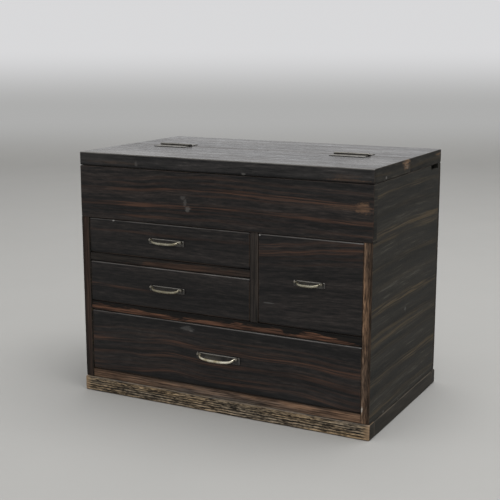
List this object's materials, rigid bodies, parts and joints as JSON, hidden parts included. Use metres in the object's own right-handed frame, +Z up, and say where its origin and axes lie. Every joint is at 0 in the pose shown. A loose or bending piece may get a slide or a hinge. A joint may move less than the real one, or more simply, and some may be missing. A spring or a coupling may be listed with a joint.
{
  "type": "small drawer chest",
  "caption": "Tabletop tansu sewing chest of dark striped wood with a folding half lid over a shallow compartment, drawers with brass bail pulls, a ruler slot and a plinth.",
  "frame": {"origin": "on the ground under the middle of the whole outline, pulls included", "axes": "+Z up, drawers face -Y, +X to the right of someone facing the drawers"},
  "size_m": [0.3666, 0.2294, 0.2911],
  "materials": {
    "striped_wood": "satin",
    "rail_wood": "worn satin",
    "plinth_wood": "worn, open grain",
    "back_wood": "matte",
    "plain_wood": "matte, unfinished",
    "bamboo": "matte",
    "aged_brass": "aged"
  },
  "bodies": {
    "case": {"side_left": "striped_wood", "side_right": "striped_wood", "back_panel": "back_wood", "back_pegs": "bamboo", "bottom_rail": "rail_wood", "bottom_board": "plain_wood", "mid_rail": "rail_wood", "mid_shelf": "plain_wood", "left_rail": "rail_wood", "left_shelf": "plain_wood", "divider_front": "rail_wood", "divider_board": "plain_wood", "upper_front_panel": "striped_wood", "compartment_floor": "plain_wood", "ruler_channel": "plain_wood", "plinth_front": "plinth_wood", "plinth_back": "plinth_wood", "plinth_left": "plinth_wood", "plinth_right": "plinth_wood", "rear_top_board": "striped_wood", "hinge_leaf_case_left": "aged_brass", "hinge_leaf_case_right": "aged_brass", "hinge_pins": "aged_brass", "hinge_screws_case": "aged_brass"},
    "lid": {"lid_board": "striped_wood", "hinge_leaf_lid_left": "aged_brass", "hinge_leaf_lid_right": "aged_brass", "hinge_screws_lid": "aged_brass"},
    "upper_left_drawer": {"upper_left_front": "striped_wood", "upper_left_side_left": "plain_wood", "upper_left_side_right": "plain_wood", "upper_left_back": "plain_wood", "upper_left_bottom": "plain_wood", "upper_left_pull_plate": "aged_brass", "upper_left_pull_posts": "aged_brass"},
    "upper_left_pull": {"upper_left_bail": "aged_brass"},
    "lower_left_drawer": {"lower_left_front": "striped_wood", "lower_left_side_left": "plain_wood", "lower_left_side_right": "plain_wood", "lower_left_back": "plain_wood", "lower_left_bottom": "plain_wood", "lower_left_pull_plate": "aged_brass", "lower_left_pull_posts": "aged_brass"},
    "lower_left_pull": {"lower_left_bail": "aged_brass"},
    "right_drawer": {"right_front": "striped_wood", "right_side_left": "plain_wood", "right_side_right": "plain_wood", "right_back": "plain_wood", "right_bottom": "plain_wood", "right_pull_plate": "aged_brass", "right_pull_posts": "aged_brass"},
    "right_pull": {"right_bail": "aged_brass"},
    "bottom_drawer": {"bottom_front": "striped_wood", "bottom_side_left": "plain_wood", "bottom_side_right": "plain_wood", "bottom_back": "plain_wood", "bottom_bottom": "plain_wood", "bottom_pull_plate": "aged_brass", "bottom_pull_posts": "aged_brass"},
    "bottom_pull": {"bottom_bail": "aged_brass"}
  },
  "joints": [
    {"name": "lid_hinge", "type": "hinge", "parent": "case", "child": "lid", "pos_m": [0, 0.00445, 0.2892], "axis": [-1, 0, 0], "range_deg": [0, 180]},
    {"name": "upper_left_slide", "type": "slide", "parent": "case", "child": "upper_left_drawer", "axis": [0, -1, 0], "range_m": [0, 0.15]},
    {"name": "upper_left_pull_swing", "type": "hinge", "parent": "upper_left_drawer", "child": "upper_left_pull", "pos_m": [-0.06585, -0.10675, 0.1931], "axis": [-1, 0, 0], "range_deg": [-64, 86]},
    {"name": "lower_left_slide", "type": "slide", "parent": "case", "child": "lower_left_drawer", "axis": [0, -1, 0], "range_m": [0, 0.15]},
    {"name": "lower_left_pull_swing", "type": "hinge", "parent": "lower_left_drawer", "child": "lower_left_pull", "pos_m": [-0.06585, -0.10675, 0.13825], "axis": [-1, 0, 0], "range_deg": [-60, 90]},
    {"name": "right_slide", "type": "slide", "parent": "case", "child": "right_drawer", "axis": [0, -1, 0], "range_m": [0, 0.15]},
    {"name": "right_pull_swing", "type": "hinge", "parent": "right_drawer", "child": "right_pull", "pos_m": [0.11105, -0.10675, 0.1638], "axis": [-1, 0, 0], "range_deg": [-66, 84]},
    {"name": "bottom_slide", "type": "slide", "parent": "case", "child": "bottom_drawer", "axis": [0, -1, 0], "range_m": [0, 0.15]},
    {"name": "bottom_pull_swing", "type": "hinge", "parent": "bottom_drawer", "child": "bottom_pull", "pos_m": [0, -0.10675, 0.06725], "axis": [-1, 0, 0], "range_deg": [-58, 92]}
  ]
}
